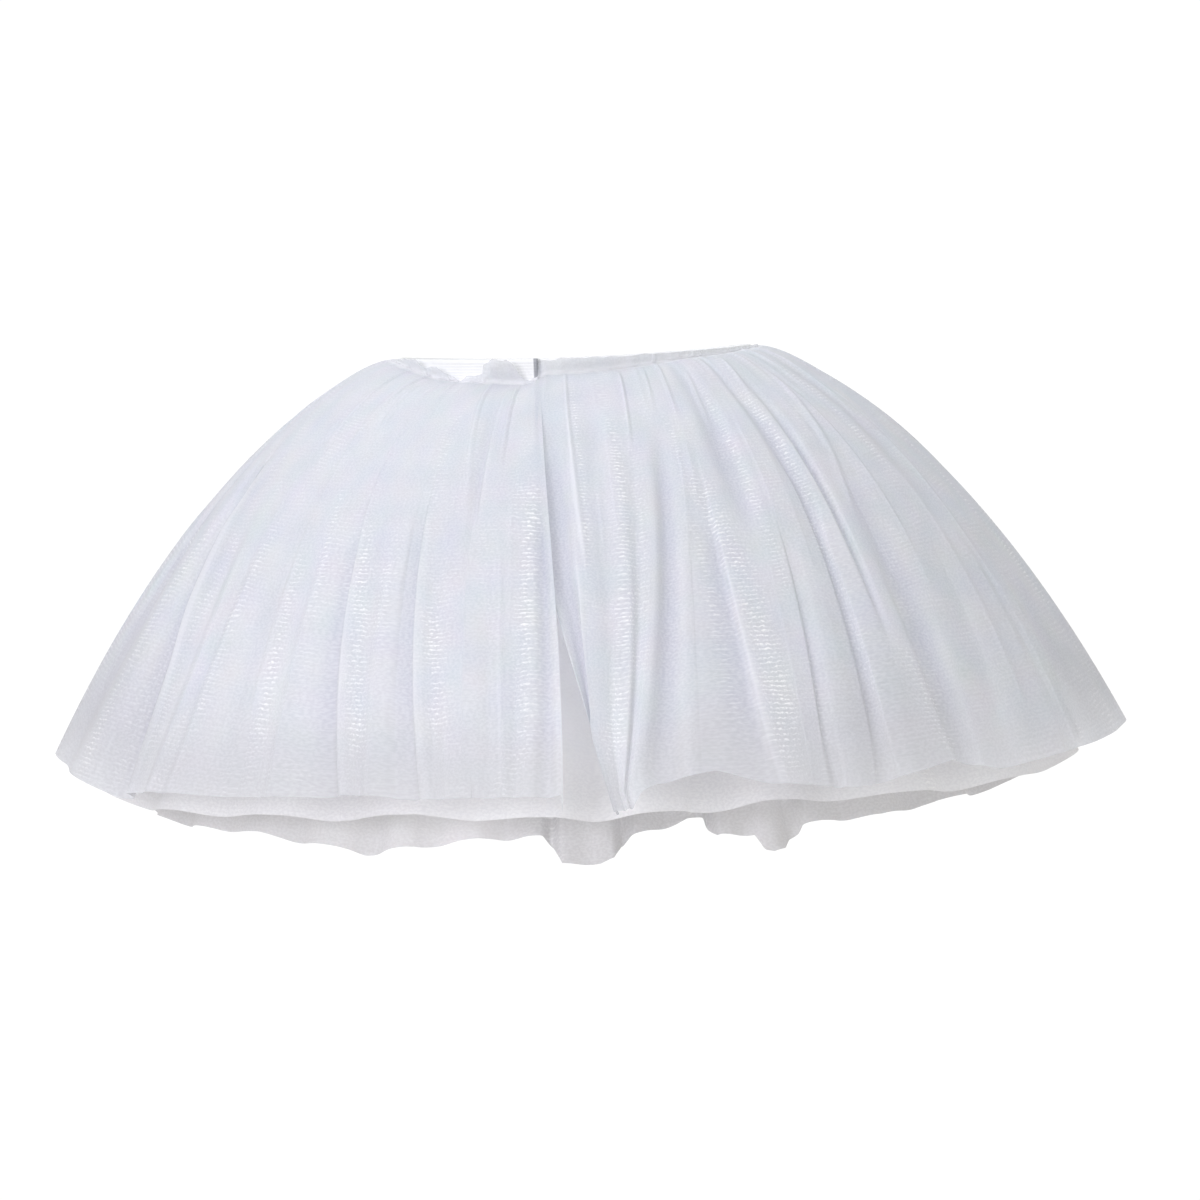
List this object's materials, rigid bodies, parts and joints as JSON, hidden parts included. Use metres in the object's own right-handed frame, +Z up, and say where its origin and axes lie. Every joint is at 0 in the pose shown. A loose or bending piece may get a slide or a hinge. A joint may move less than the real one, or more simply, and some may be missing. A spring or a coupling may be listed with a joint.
{
  "type": "tutu skirt",
  "caption": "Adult white tutu skirt: a lapped elastic waistband with gathered tulle layers flaring into a hollow bell, the outer layer slit at the front.",
  "frame": {"origin": "middle of the waistband at half its height, where the wearer's waist holds the skirt", "axes": "+Z up along the waist, +X towards the right of a viewer who faces the front, -Y is the front"},
  "size_m": [0.7945, 0.7743, 0.327],
  "materials": {
    "elastic": "white satin elastic",
    "outer_tulle": "translucent shimmer tulle",
    "inner_tulle": "translucent tulle, slightly greyer in the shade of the outer layer"
  },
  "bodies": {
    "root": {"waistband": "elastic", "top_layer": "outer_tulle", "middle_layer": "inner_tulle", "under_layer": "inner_tulle"}
  },
  "joints": []
}
